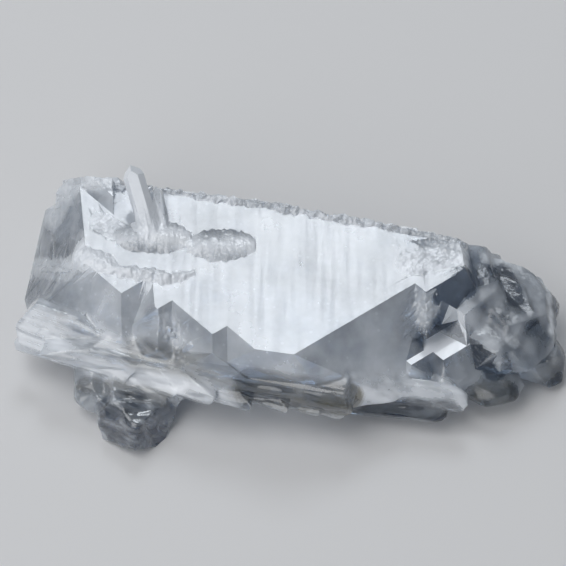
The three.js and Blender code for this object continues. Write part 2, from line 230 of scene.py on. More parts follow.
ROUGH: dict[Zone, Rough] = {
    Zone.PLATE: Rough((Track(LEFT_PLATE, 3.6),), 0.55, 6),
    Zone.FINGER: Rough((Track(FINGER, 3.4),), 0.55, 5),
    Zone.BAND: Rough((Track(PALE_BAND, 2.6), Track(LOW_PLATE, 2.6)), 0.75, 14),
    Zone.PATCH: Rough((Track(OVAL_ROOT, 4.0, 0.6), Track(LEFT_ROOT, 4.0, 0.6)), 0.36, 50),
    Zone.SEAM: Rough(
        (
            Track(RIDGE, 1.8, 0.6),
            Track(WING, 2.4, 0.6),
            Track(LEFT_STEP, 1.4),
            Track(DRUSY_SPOT, 1.6),
        ),
        0.36,
        8,
    ),
    Zone.SPARKLE: Rough(LEVEL_SPARKLE, 0.36, 15),
    Zone.STEP: Rough((Track(SPARKLING_STEP, 1.8, 0.8),), 0.36, 30),
    Zone.EDGE: Rough((Track(BACK_EDGE, 1.6), Track(SMALL_CREST, 1.6)), 0.42, 1),
    Zone.RIM: Rough((Track(BACK_CORNER, 1.6, 2.2), Track(RIGHT_RIM, 1.8, 1.6)), 0.5, 6),
    Zone.END: Rough((Track(RIGHT_END, 7.0, 2.5), Track(NUB, 3.6)), 0.7, 8),
    Zone.STUB: Rough((Track(STUB, 5.0), Track(STUB_SHOULDER, 2.6, 1.0)), 0.62, 14),
    Zone.BACK: Rough((Track(BACK_SLOPE, 6.5, 2.0),), 1.5, 1),
    Zone.CRACK: Rough((Track(CRACK, 0.2, 0.25),), 0.2, 0),
}

LOOKS: dict[Look, tuple[Track, ...]] = {
    Look.FROST: (
        Track(OVAL_PATCH, 4.2, 0.3, 0.6),
        Track(LEFT_PATCH, 4.2, 0.3, 0.6),
        Track(RIDGE, 2.0, 0.3),
        Track(WING, 2.6, 0.3),
        Track(FRINGE, 1.7, 0.4, 0.5),
        Track(LEFT_STEP, 1.2, 1.0, 0.7),
        Track(DRUSY_SPOT, 0.8, 1.4, 0.6),
        Track(SPARKLING_STEP, 0.7, 0.9, 0.45),
        Track(SPARKLING_PATCH, 1.2, 3.0, 0.6),
        Track(BACK_EDGE, 1.6, 1.0, 0.8),
        Track(SMALL_CREST, 1.6, 1.0, 0.8),
        Track(BACK_CORNER, 1.6, 2.2, 0.5),
        Track(RIGHT_RIM, 1.2, 1.4, 0.5),
        Track(RIM_LINE, 0.3, 0.7),
        Track(CRACK, 0.3, 0.3),
        # The glint tracks: frosted spots whose bump catches the lamps, and whose added cloudiness also
        # paints them whiter, a painted highlight.
        Track(STUB_GLINT, 0.8, 1.2, 0.6),
        Track(BACK_GLINT, 0.6, 0.7),
        Track(FRONT_GLINT, 0.5, 0.7),
        Track(LOW_GLINT, 0.4, 0.6),
    ),
    Look.MILK: (
        Track(PRISM, 2.4, 0.4, 1.3),
        Track(THIN_PRISM, 1.2, 0.4, 0.5),
        Track(MILKY_PLATE, 3.4, 2.4, 0.2),
        Track(LEFT_CREST, 0.9, 1.8, 0.85),
        Track(PALE_BAND, 1.4, 1.8, 0.1),
        Track(PALE_EDGE, 0.4, 1.2, 0.6),
        Track(OVAL_PATCH, 0.8, 2.4, 0.7),
        Track(LEFT_PATCH, 0.8, 2.4, 0.7),
        Track(RIDGE, 1.0, 1.0, 0.5),
        Track(SPARKLING_PATCH, 1.2, 3.0, 0.6),
        Track(FRINGE, 1.7, 0.4, 0.5),
        Track(WING, 1.4, 1.0, 0.6),
        Track(BACK_CORNER, 1.6, 2.2, 0.3),
        Track(CRACK, 0.3, 0.3),
        # Painted light: RIM_LINE paints a thin white highlight along the rim's edge, over its frosted
        # relief, and STUB_BAND a light band that stands in for a reflection inside the clear stub.
        Track(RIM_LINE, 0.5, 0.9),
        Track(STUB_BAND, 0.3, 1.0, 0.45),
    ),
    # Clear places: more light passes through them, and they also take the painted shade, a dark colour
    # standing in for the dark seen through the crystal.
    Look.CLEAR: (
        Track(STUB, 3.8, 2.0, 0.85),
        Track(LOW_PLATE, 2.2, 1.0),
        Track(DARK_FACE, 2.2, 0.8),
        Track(GREY_FACE, 0.9, 0.9, 0.5),
        Track(DARK_SLIT, 0.5, 1.4, 0.8),
        Track(DARK_HOLLOW, 0.2, 2.2, 0.6),
        Track(DARK_CLEFT, 0.8, 1.0, 0.8),
        Track(NUB, 3.0, 1.0, 0.2),
        Track(LEFT_FACET, 4.0, 2.0, 0.18),
        Track(FINGER_BODY, 1.4, 3.2, 0.55),
        Track(OLIVE_BAND, 1.2, 1.8, 0.25),
        Track(OVAL_SLOPE, 0.7, 1.5, 0.3),
        Track(LEFT_SLOPE, 0.6, 1.3, 0.3),
        Track(OVAL_FOOT, 0.5, 1.1, 0.18),
        Track(LEFT_FOOT, 0.5, 1.1, 0.22),
    ),
    Look.STAIN: (
        Track(FINGER_BODY, 1.4, 3.2, 0.95),
        Track(PATCH_TINT, 0.6, 1.4, 0.15),
        Track(FINGER_END, 2.2, 1.0),
        Track(OLIVE_BAND, 1.2, 2.2, 0.5),
        Track(STUB_JOIN, 0.8, 1.0, 0.55),
        Track(NUB, 2.2, 1.6),
        Track(RIGHT_FOOT, 1.4, 1.6, 0.3),
    ),
    # Glassy crystals: rougher, less glossy and clearer in windows, and their body and windows also take the
    # painted shade.
    Look.GLASS: (
        Track(RIGHT_END, 7.0, 2.5),
        Track(RIGHT_FRONT, 4.0, 2.0, 0.7),
        Track(NUB, 2.6, 1.2, 0.8),
    ),
    Look.FIBRE: (
        Track(LEFT_PLATE, 3.0, 1.4, 0.7),
        Track(FINGER, 3.4, 1.2, 0.25),
        Track(PALE_BAND, 2.4, 1.2, 0.4),
        Track(STUB, 4.6, 1.6, 0.8),
    ),
}


@dataclass(frozen=True)
class Relief:
    """One layer of relief on a zone.

    Attributes:
        zone: Where it lies.
        weave: The texture that it is drawn from.
        grain: The texture's size along its own X, Y and Z, in millimetres.
        depth: From the lowest to the highest point, in millimetres; below 0 it is sunk.
        turn: How the texture is turned round the vertical, in degrees.
        octaves: How many finer layers the texture has.
    """

    zone: Zone
    weave: Weave
    grain: Point
    depth: float
    turn: float = 0.0
    octaves: int = 0

    def press(self, piece: bpy.types.Object) -> None:
        """Raises and sinks the piece's skin by the texture, within the zone.

        Args:
            piece: The mesh object, with a vertex group for each zone.
        """
        clouds = self.weave is Weave.CLOUDS
        texture = bpy.data.textures.new(f"{self.zone.value}_relief", type="CLOUDS" if clouds else "VORONOI")
        texture.noise_scale = 1.0
        if clouds:
            texture.noise_depth = self.octaves
        else:
            texture.distance_metric = "DISTANCE_SQUARED" if self.weave is Weave.SCOOPS else "MANHATTAN"
        bpy.ops.object.select_all(action="DESELECT")
        bpy.ops.object.empty_add(type="PLAIN_AXES")
        axes = bpy.context.active_object
        axes.rotation_euler = Euler((0.0, 0.0, math.radians(self.turn)))
        axes.scale = [g * MM for g in self.grain]
        bpy.context.view_layer.update()
        push = piece.modifiers.new("relief", "DISPLACE")
        push.texture = texture
        push.texture_coords = "OBJECT"
        push.texture_coords_object = axes
        push.vertex_group = self.zone.value
        push.mid_level = 0.5
        push.strength = self.depth * MM
        bpy.context.view_layer.objects.active = piece
        bpy.ops.object.modifier_apply(modifier=push.name)
        bpy.data.objects.remove(axes)
        bpy.data.textures.remove(texture)


RELIEFS: tuple[Relief, ...] = (
    Relief(Zone.PLATE, Weave.CLOUDS, (14, 0.8, 0.8), 0.18, -13, 1),
    Relief(Zone.PLATE, Weave.CLOUDS, (9, 3, 3), 0.35, -13),
    Relief(Zone.FINGER, Weave.CLOUDS, (12, 0.9, 0.9), 0.2, 0, 1),
    Relief(Zone.FINGER, Weave.CLOUDS, (5, 2.5, 2.5), 0.45, 0),
    Relief(Zone.BAND, Weave.CLOUDS, (7, 1.2, 1.2), 0.4, 3),
    Relief(Zone.PATCH, Weave.CLOUDS, (0.5, 2, 2), 0.1, 12, 2),
    Relief(Zone.PATCH, Weave.CLOUDS, (1.8, 1.4, 1.8), 0.35, 12, 2),
    Relief(Zone.SEAM, Weave.POINTS, (0.8, 0.8, 0.8), -0.18, 25),
    Relief(Zone.SEAM, Weave.CLOUDS, (0.6, 2, 2), 0.25, 12, 1),
    Relief(Zone.SPARKLE, Weave.CLOUDS, (0.7, 0.7, 0.7), 0.16, 25, 1),
    Relief(Zone.STEP, Weave.POINTS, (0.9, 0.9, 0.9), -0.3, 25),
    Relief(Zone.EDGE, Weave.POINTS, (0.9, 0.9, 0.9), -0.35, 20),
    Relief(Zone.EDGE, Weave.CLOUDS, (2.5, 2.5, 2.5), 0.5, 0, 1),
    Relief(Zone.RIM, Weave.SCOOPS, (1.3, 1.3, 1.3), 0.25),
    Relief(Zone.END, Weave.CLOUDS, (6, 6, 6), 0.6),
    Relief(Zone.END, Weave.SCOOPS, (3, 3, 3), 0.22),
    Relief(Zone.END, Weave.SCOOPS, (0.9, 0.9, 0.9), 0.08),
    Relief(Zone.STUB, Weave.CLOUDS, (10, 1.2, 10), 0.7, 13),
    Relief(Zone.STUB, Weave.SCOOPS, (2.5, 2.5, 2.5), 0.5),
    Relief(Zone.BACK, Weave.SCOOPS, (5, 5, 5), 0.8),
)


@dataclass(frozen=True)
class Pattern:
    """A noise pattern, and the stretch of its value that counts.

    Attributes:
        grain: How large its features are along each axis, in millimetres.
        detail: How many finer layers it has.
        low: The value that becomes first.
        high: The value that becomes last.
        turn: How its axes are turned round the vertical, in degrees.
        first: The result at low.
        last: The result at high.
    """

    grain: Point
    detail: float
    low: float
    high: float
    turn: float = 0.0
    first: float = 0.0
    last: float = 1.0


CLOUDS = Pattern((9, 9, 9), 6, 0.3, 0.7)
VEIL_BEDS = Pattern((13, 13, 13), 1, 0.4, 0.7)
FIBRES = Pattern((16, 0.8, 0.8), 4, 0.38, 0.62, -13)
WINDOWS = Pattern((5, 5, 5), 2, 0.38, 0.66)
STREAKS = Pattern((0.8, 14, 14), 3, 0.4, 0.65, 12)
DRIFTS = Pattern((10, 14, 14), 4, 0.45, 0.65, 12)
RUST = Pattern((6, 2.5, 2.5), 4, 0.3, 0.65, 0, 0.4, 0.9)

# What each look adds to the cloudiness, the painted shade of the body colour, the bump and the glassy
# outside.
HAZE_OF: dict[Look, float] = {
    Look.MILK: 0.45,
    Look.FROST: 0.3,
    Look.FLASH: 0.05,
    Look.CLEAR: -0.6,
    Look.GLASS: -0.06,
}
# Painted shade: clear and glassy places are darkened towards a dark colour that stands in for the dark seen
# through the crystal; milky and frosted places take it off again.
PAINTED_SHADE_OF: dict[Look, float] = {Look.CLEAR: 0.85, Look.GLASS: 0.4, Look.MILK: -0.35, Look.FROST: -0.25}
BUMP_OF: dict[Look, float] = {Look.FROST: 0.6, Look.GLASS: 0.15}
COAT_OF: dict[Look, float] = {Look.FROST: -0.4, Look.GLASS: -0.6}
CELL_TURN = 20.0
NOISE_MIDDLE = 0.5


class Nodes:
    """Short ways to add shader nodes to one tree."""

    def __init__(self, tree: bpy.types.NodeTree) -> None:
        """Keeps the tree that nodes are added to."""
        self.tree = tree

    def feed(self, value: Socket, socket: Socket) -> None:
        """Links a value to a socket."""
        self.tree.links.new(value, socket)

    def place(self, grain: Point, turn: float) -> Socket:
        """Gives Object coordinates in units of a grain, along turned axes.

        Args:
            grain: The unit along each axis, in millimetres.
            turn: How the axes are turned round the vertical, in degrees.

        Returns:
            The coordinates.
        """
        node = self.tree.nodes.new("ShaderNodeMapping")
        node.vector_type = "TEXTURE"
        node.inputs["Scale"].default_value = [g * MM for g in grain]
        node.inputs["Rotation"].default_value = (0.0, 0.0, math.radians(turn))
        self.feed(self.tree.nodes.new("ShaderNodeTexCoord").outputs["Object"], node.inputs["Vector"])
        return node.outputs["Vector"]

    def noise(self, grain: Point, detail: float, turn: float = 0.0) -> Socket:
        """Adds noise.

        Args:
            grain: How large its features are along each axis, in millimetres.
            detail: How many finer layers it has.
            turn: How its axes are turned round the vertical, in degrees.

        Returns:
            Its value, about 0.5 on the whole.
        """
        node = self.tree.nodes.new("ShaderNodeTexNoise")
        node.inputs["Scale"].default_value = 1.0
        node.inputs["Detail"].default_value = detail
        self.feed(self.place(grain, turn), node.inputs["Vector"])
        return node.outputs["Fac"]

    def pattern(self, pattern: Pattern) -> Socket:
        """Adds a noise pattern, held to the stretch that counts."""
        noise = self.noise(pattern.grain, pattern.detail, pattern.turn)
        return self.span(noise, pattern.low, pattern.high, pattern.first, pattern.last)

    def cells(self, grain: float, metric: str) -> Socket:
        """Adds a pattern of cells.

        Args:
            grain: How large the cells are, in millimetres.
            metric: How distance is measured, which makes the cells round or faceted.

        Returns:
            The distance from the nearest cell's middle, in grains.
        """
        node = self.tree.nodes.new("ShaderNodeTexVoronoi")
        node.inputs["Scale"].default_value = 1.0
        node.distance = metric
        self.feed(self.place((grain, grain, grain), CELL_TURN), node.inputs["Vector"])
        return node.outputs["Distance"]

    def away(self, value: Socket, middle: float) -> Socket:
        """Gives how far a value is from a middle.

        Args:
            value: The value.
            middle: The middle.

        Returns:
            The distance, 0 or more.
        """
        node = self.tree.nodes.new("ShaderNodeMath")
        node.operation = "SUBTRACT"
        node.inputs[1].default_value = middle
        self.feed(value, node.inputs[0])
        size = self.tree.nodes.new("ShaderNodeMath")
        size.operation = "ABSOLUTE"
        self.feed(node.outputs["Value"], size.inputs[0])
        return size.outputs["Value"]

    def look(self, look: Look) -> Socket:
        """Reads how strong a look is on the piece.

        Args:
            look: The look.

        Returns:
            Its strength, 0 where it is absent.
        """
        node = self.tree.nodes.new("ShaderNodeAttribute")
        node.attribute_name = look.value
        return node.outputs["Fac"]

    def shares(self, factors: dict[Look, float]) -> list[tuple[Socket, float]]:
        """Pairs the looks' strengths with their factors."""
        return [(self.look(look), factor) for look, factor in factors.items()]

    def span(
        self, value: Socket, low: float, high: float, first: float = 0.0, last: float = 1.0
    ) -> Socket:
        """Maps the stretch from low to high to the stretch from first to last, held there.

        Args:
            value: The value.
            low: What becomes first.
            high: What becomes last.
            first: The result at low.
            last: The result at high.

        Returns:
            The result.
        """
        node = self.tree.nodes.new("ShaderNodeMapRange")
        ends = (("From Min", low), ("From Max", high), ("To Min", first), ("To Max", last))
        for name, end in ends:
            node.inputs[name].default_value = end
        self.feed(value, node.inputs["Value"])
        return node.outputs["Result"]

    def sum(self, start: float, parts: list[tuple[Socket, float]]) -> Socket:
        """Adds shares of values to a start.

        Args:
            start: The number to start from.
            parts: Values, each with its factor.

        Returns:
            The sum.
        """
        made: Socket | None = None
        for value, factor in parts:
            node = self.tree.nodes.new("ShaderNodeMath")
            node.operation = "MULTIPLY_ADD"
            node.inputs[1].default_value = factor
            self.feed(value, node.inputs[0])
            if made is None:
                node.inputs[2].default_value = start
            else:
                self.feed(made, node.inputs[2])
            made = node.outputs["Value"]
        return made

    def product(self, first: Socket, second: Socket) -> Socket:
        """Multiplies two values.

        Args:
            first: One value.
            second: The other value.

        Returns:
            The product.
        """
        node = self.tree.nodes.new("ShaderNodeMath")
        node.operation = "MULTIPLY"
        self.feed(first, node.inputs[0])
        self.feed(second, node.inputs[1])
        return node.outputs["Value"]

    def mix(self, share: Socket, first: Colour | Socket, second: Colour) -> Socket:
        """Goes from one colour to another.

        Args:
            share: How far.
            first: The colour at 0.
            second: The colour at 1.

        Returns:
            The colour between.
        """
        node = self.tree.nodes.new("ShaderNodeMix")
        node.data_type = "RGBA"
        self.feed(share, node.inputs["Factor"])
        if isinstance(first, Socket):
            self.feed(first, node.inputs["A"])
        else:
            node.inputs["A"].default_value = (*first, 1.0)
        node.inputs["B"].default_value = (*second, 1.0)
        return node.outputs["Result"]


@dataclass(frozen=True)
class QuartzFinish:
    """Rock crystal: clear to milky inside, glassy outside, and stained by iron in places.

    Attributes:
        ior: Quartz's refractive index.
        clear: How much light passes where it is clearest.
        milky: How much passes where it is cloudiest.
        polish: Roughness where it is clearest.
        blur: Roughness where it is cloudiest.
        ripple: Roughness that the glassy crystals add.
        skin: Roughness of the glassy outside.
        body: Colour of the clear crystal.
        milk: Colour of the cloudy crystal.
        iron: Colour of the stain.
        painted_shade: The dark colour painted into the clearest places, a painted shade for the dark seen
            through them.
        shade: Colour that the depth of the crystal takes on.
        depth: How strongly it does, per metre.
        haze: How cloudy the crystal is before anything is added, from 0 to 1.
        clouds: What the clouds add to that.
        veils: What the thin veils add.
        specks: What the specks add.
        fibres: What the fibres add.
        windows: What the windows of the glassy crystals add.
        dark: How far the glassy crystals' windows take the painted shade.
        streaks: What fine streaks add to the gloss of the level faces.
        drifts: What broad drifts add to it.
        veil_grain: How large the veils are, in millimetres.
        veil_detail: How many finer layers they have.
        veil_width: How wide they are, as a share of the noise.
        speck_gap: How far apart the specks are, in millimetres.
        speck_size: Where a speck starts to fade and where it ends, as shares of the gap.
        grit: How large the grit of the bump is, in millimetres.
        grain: How large its grain is, in millimetres.
        grain_detail: How many finer layers the grain has.
        grain_share: How much of it goes with the grit.
        bump: How high the bump is, in millimetres.
        bump_least: The share of it that is everywhere.
    """

    ior: float = 1.544
    clear: float = 0.98
    milky: float = 0.05
    polish: float = 0.02
    blur: float = 0.4
    ripple: float = 0.18
    skin: float = 0.03
    body: Colour = (0.90, 0.95, 1.0)
    milk: Colour = (0.89, 0.93, 0.99)
    iron: Colour = (0.21, 0.19, 0.13)
    painted_shade: Colour = (0.29, 0.32, 0.36)
    shade: Colour = (0.75, 0.80, 0.86)
    depth: float = 150.0
    haze: float = 0.22
    clouds: float = 0.45
    veils: float = 0.25
    specks: float = 0.1
    fibres: float = 0.35
    windows: float = -0.4
    dark: float = 0.45
    streaks: float = -0.5
    drifts: float = -0.3
    veil_grain: float = 7.0
    veil_detail: float = 5.0
    veil_width: float = 0.12
    speck_gap: float = 1.8
    speck_size: tuple[float, float] = (0.1, 0.18)
    grit: float = 0.5
    grain: float = 0.7
    grain_detail: float = 4.0
    grain_share: float = 0.6
    bump: float = 0.08
    bump_least: float = 0.03

    def build(self) -> bpy.types.Material:
        """Makes the material.

        Returns:
            The quartz material, patterned by Object coordinates and the piece's own attributes.
        """
        material = bpy.data.materials.new("rock_crystal")
        material.use_nodes = True
        nodes = Nodes(material.node_tree)
        shader = material.node_tree.nodes["Principled BSDF"]
        shader.inputs["IOR"].default_value = self.ior
        shader.inputs["Coat Roughness"].default_value = self.skin
        shader.inputs["Coat IOR"].default_value = self.ior
        haze = self.cloudiness(nodes)
        blur = nodes.span(haze, 0.0, 1.0, self.polish, self.blur)
        normal = self.bumps(nodes)
        values = {
            "Transmission Weight": nodes.span(haze, 0.0, 1.0, self.clear, self.milky),
            "Roughness": nodes.sum(0.0, [(blur, 1.0), (nodes.look(Look.GLASS), self.ripple)]),
            "Base Color": self.colour(nodes, haze),
            "Coat Weight": self.gloss(nodes),
            "Normal": normal,
            "Coat Normal": normal,
        }
        for name, value in values.items():
            nodes.feed(value, shader.inputs[name])
        depth = material.node_tree.nodes.new("ShaderNodeVolumeAbsorption")
        depth.inputs["Color"].default_value = (*self.shade, 1.0)
        depth.inputs["Density"].default_value = self.depth
        nodes.feed(depth.outputs["Volume"], material.node_tree.nodes["Material Output"].inputs["Volume"])
        return material

    def cloudiness(self, nodes: Nodes) -> Socket:
        """Says how cloudy each place is: clouds, thin veils, fibres and specks in the clear crystal.

        Args:
            nodes: The material's nodes.

        Returns:
            The cloudiness, 0 where it is clear and 1 where it is milky.
        """
        folds = nodes.noise((self.veil_grain,) * 3, self.veil_detail)
        veil = nodes.span(nodes.away(folds, NOISE_MIDDLE), 0.0, self.veil_width, 1.0, 0.0)
        specks = nodes.span(nodes.cells(self.speck_gap, "EUCLIDEAN"), *self.speck_size, 1.0, 0.0)
        return nodes.sum(
            self.haze,
            [
                (nodes.pattern(CLOUDS), self.clouds),
                (nodes.product(veil, nodes.pattern(VEIL_BEDS)), self.veils),
                (specks, self.specks),
                (nodes.product(nodes.look(Look.FIBRE), nodes.pattern(FIBRES)), self.fibres),
                (self.clear_windows(nodes), self.windows),
                *nodes.shares(HAZE_OF),
            ],
        )

    def clear_windows(self, nodes: Nodes) -> Socket:
        """Finds the clear windows of the glassy crystals."""
        return nodes.product(nodes.look(Look.GLASS), nodes.pattern(WINDOWS))

    def colour(self, nodes: Nodes, haze: Socket) -> Socket:
        """Says what colour each place has.

        Args:
            nodes: The material's nodes.
            haze: The cloudiness.

        Returns:
            The colour: clear or milky, with painted shade in the clearest places, and stained by iron.
        """
        pale = nodes.mix(nodes.span(haze, 0.0, 1.0), self.body, self.milk)
        # Painted shade: clear places and the glassy crystals' windows are darkened towards a dark colour
        # that stands in for the dark seen through the crystal.
        painted_shade = nodes.sum(0.0, [(self.clear_windows(nodes), self.dark), *nodes.shares(PAINTED_SHADE_OF)])
        stain = nodes.product(nodes.look(Look.STAIN), nodes.pattern(RUST))
        return nodes.mix(stain, nodes.mix(painted_shade, pale, self.painted_shade), self.iron)

    def bumps(self, nodes: Nodes) -> Socket:
        """Adds grit and grain too fine for the mesh.

        Args:
            nodes: The material's nodes.

        Returns:
            The normal.
        """
        node = nodes.tree.nodes.new("ShaderNodeBump")
        node.inputs["Distance"].default_value = self.bump * MM
        nodes.feed(nodes.sum(self.bump_least, nodes.shares(BUMP_OF)), node.inputs["Strength"])
        grain = nodes.noise((self.grain,) * 3, self.grain_detail)
        grit = nodes.cells(self.grit, "MANHATTAN")
        nodes.feed(nodes.sum(0.0, [(grain, self.grain_share), (grit, 1.0)]), node.inputs["Height"])
        return node.outputs["Normal"]

    def gloss(self, nodes: Nodes) -> Socket:
        """Says how glassy the outside is, with streaks and drifts in the level faces' flash.

        Args:
            nodes: The material's nodes.

        Returns:
            The gloss, 1 where it is full.
        """
        flash = nodes.look(Look.FLASH)
        streaks = (nodes.product(flash, nodes.pattern(STREAKS)), self.streaks)
        drifts = (nodes.product(flash, nodes.pattern(DRIFTS)), self.drifts)
        return nodes.sum(1.0, [streaks, drifts, *nodes.shares(COAT_OF)])


@dataclass
class QuartzCluster:
    """The grown-together crystals.

    Attributes:
        name: The piece's name.
        merge: Corners closer than this are one, in metres.
        sliver: Edges and faces thinner than this are closed up, in metres.
        flat: Faces within this angle of each other are one flat face, in degrees.
        coarse: The longest edge on the plain faces, in millimetres.
        rounds: How often long edges are halved.
        crease: Edges of the rough skin sharper than this stay crisp, in degrees.
        facet: Edges between plain faces sharper than this stay crisp, in degrees.
        levels: The heights of the large and the small level face, in millimetres.
        close: What lies this close to a level face's height is on it, in millimetres.
        upright: How far up a level face's normal points, at least.
        least: Weights up to this count as none.
        onset: How fast the other looks come in where a level face sparkles.
        small_painted_highlight: How milky the small level face is made, a painted highlight that stands in
            for its mirror flash.
        sole: The skin keeps its shape at the sole, less and less up to this height, in millimetres.
        finish: What the crystals look like.
    """

    name: str = "rock_crystal_cluster"
    merge: float = 2e-6
    sliver: float = 2e-5
    flat: float = 0.4
    coarse: float = 6.0
    rounds: int = 7
    crease: float = 26.0
    facet: float = 1.0
    levels: tuple[float, float] = (17.0, 10.0)
    close: float = 0.01
    upright: float = 0.999
    least: float = 0.001
    onset: float = 2.0
    small_painted_highlight: float = 1.5
    sole: float = 1.0
    finish: QuartzFinish = field(default_factory=QuartzFinish)

    def build(self) -> bpy.types.Object:
        """Builds the piece and hides the CAD node that it stands for.

        Returns:
            The finished piece.
        """
        piece = self.copy_node()
        self.tessellate(piece)
        plain = self.mark_zones(piece)
        self.mark_looks(piece)
        self.soften(piece)
        for relief in RELIEFS:
            relief.press(piece)
        self.shade(piece, plain)
        self.dress(piece)
        return piece

    def copy_node(self) -> bpy.types.Object:
        """Copies the CAD node's mesh, merges its corners, closes its slivers and joins its flat faces.

        Returns:
            The new piece.
        """
        bpy.ops.object.select_all(action="DESELECT")
        piece = bpy.data.objects.new(self.name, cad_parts[NODE].data.copy())
        piece.data.name = self.name
        bpy.context.scene.collection.objects.link(piece)
        piece.select_set(True)
        bpy.context.view_layer.objects.active = piece
        bpy.ops.mesh.customdata_custom_splitnormals_clear()
        bpy.ops.object.mode_set(mode="EDIT")
        bpy.ops.mesh.select_mode(type="EDGE")
        bpy.ops.mesh.select_all(action="SELECT")
        bpy.ops.mesh.remove_doubles(threshold=self.merge)
        bpy.ops.mesh.dissolve_degenerate(threshold=self.sliver)
        bpy.ops.mesh.select_all(action="SELECT")
        bpy.ops.mesh.dissolve_limited(angle_limit=math.radians(self.flat))
        bpy.ops.mesh.quads_convert_to_tris(quad_method="BEAUTY", ngon_method="BEAUTY")
        bpy.ops.mesh.select_all(action="DESELECT")
        bpy.ops.object.mode_set(mode="OBJECT")
        return piece

    @staticmethod
    def corners(mesh: bpy.types.Mesh) -> np.ndarray:
        """Gives the places of a mesh's corners.

        Args:
            mesh: The mesh.

        Returns:
            The corners in millimetres, one a row.
        """
        places = np.empty(len(mesh.vertices) * 3)
        mesh.vertices.foreach_get("co", places)
        return places.reshape(-1, 3) / MM

    def tessellate(self, piece: bpy.types.Object) -> None:
        """Halves long edges until the zones of relief have a fine skin.

        Args:
            piece: The piece.
        """
        mesh = piece.data
        for _ in range(self.rounds):
            corners = self.corners(mesh)
            ends = np.empty(len(mesh.edges) * 2, dtype=np.int64)
            mesh.edges.foreach_get("vertices", ends)
            first, last = corners[ends[0::2]], corners[ends[1::2]]
            long = np.linalg.norm(last - first, axis=1) > self.longest((first + last) / 2)
            if not long.any():
                break
            mesh.edges.foreach_set("select", long)
            bpy.ops.object.mode_set(mode="EDIT")
            bpy.ops.mesh.subdivide(number_cuts=1, ngon=False)
            bpy.ops.mesh.select_all(action="SELECT")
            bpy.ops.mesh.quads_convert_to_tris(quad_method="SHORTEST_DIAGONAL", ngon_method="CLIP")
            bpy.ops.mesh.select_all(action="DESELECT")
            bpy.ops.object.mode_set(mode="OBJECT")
        LOG.info("%s: %d faces after halving", piece.name, len(mesh.polygons))

    def longest(self, places: np.ndarray) -> np.ndarray:
        """Gives the longest edge wanted at places.

        Args:
            places: Points in millimetres, one a row.

        Returns:
            The lengths in millimetres.
        """
        lengths = np.full(len(places), self.coarse)
        for rough in ROUGH.values():
            inside = weights_of(rough.tracks, places) > 0
            lengths[inside] = np.minimum(lengths[inside], rough.edge)
        return lengths

    def mark_zones(self, piece: bpy.types.Object) -> np.ndarray:
        """Writes the zones of relief as vertex groups.

        The large level face, but for its sparkling parts, and the sole stay flat.

        Args:
            piece: The piece.

        Returns:
            For each corner, whether it is in no zone.
        """
        corners = self.corners(piece.data)
        free = np.clip(corners[:, 2] / self.sole, 0.0, 1.0)
        level = np.abs(corners[:, 2] - self.levels[0]) < self.close
        free[level & (weights_of(LEVEL_SPARKLE, corners) <= 0)] = 0.0
        plain = np.full(len(corners), True)
        for zone, rough in ROUGH.items():
            group = piece.vertex_groups.new(name=zone.value)
            weights = weights_of(rough.tracks, corners) * free
            plain &= weights <= self.least
            for index in np.flatnonzero(weights > self.least):
                group.add([int(index)], float(weights[index]), "REPLACE")
        return plain

    def mark_looks(self, piece: bpy.types.Object) -> None:
        """Writes the looks as attributes of the faces.

        The level faces have the flash. The other looks are on their sparkling parts alone, but the
        small one is made milky all over, a painted highlight that stands in for its mirror flash.

        Args:
            piece: The piece.
        """
        mesh = piece.data
        middles, normals = np.empty(len(mesh.polygons) * 3), np.empty(len(mesh.polygons) * 3)
        mesh.polygons.foreach_get("center", middles)
        mesh.polygons.foreach_get("normal", normals)
        middles = middles.reshape(-1, 3) / MM
        large, small = (np.abs(middles[:, 2] - level) < self.close for level in self.levels)
        flat = (large | small) & (normals[2::3] > self.upright)
        sparkle = weights_of(LEVEL_SPARKLE, middles)
        flash = np.where(flat, 1.0 - sparkle, 0.0)
        mesh.attributes.new(Look.FLASH.value, "FLOAT", "FACE").data.foreach_set("value", flash)
        for look, tracks in LOOKS.items():
            weights = weights_of(tracks, middles)
            weights[flat] *= np.minimum(1.0, self.onset * sparkle[flat])
            # Painted highlight: the small level face is made milky white all over, standing in for its
            # mirror flash.
            if look is Look.MILK:
                weights[flat & small] = self.small_painted_highlight
            mesh.attributes.new(look.value, "FLOAT", "FACE").data.foreach_set("value", weights)

    def soften(self, piece: bpy.types.Object) -> None:
        """Rounds the skin of each zone.

        Args:
            piece: The piece.
        """
        bpy.context.view_layer.objects.active = piece
        for zone, rough in ROUGH.items():
            ease = piece.modifiers.new("soften", "SMOOTH")
            ease.iterations = rough.soften
            ease.vertex_group = zone.value
            bpy.ops.object.modifier_apply(modifier=ease.name)

    def shade(self, piece: bpy.types.Object, plain: np.ndarray) -> None:
        """Shades the rough skin smooth between its creases and leaves every plain face flat.

        Args:
            piece: The piece.
            plain: For each corner, whether it is in no zone of relief.
        """
        bpy.ops.object.select_all(action="DESELECT")
        piece.select_set(True)
        bpy.context.view_layer.objects.active = piece
        bpy.ops.object.shade_smooth_by_angle(angle=math.radians(self.crease))
        mesh = piece.data
        normals = np.empty(len(mesh.polygons) * 3)
        mesh.polygons.foreach_get("normal", normals)
        sides = np.empty(len(mesh.loops), dtype=np.int64)
        mesh.loops.foreach_get("edge_index", sides)
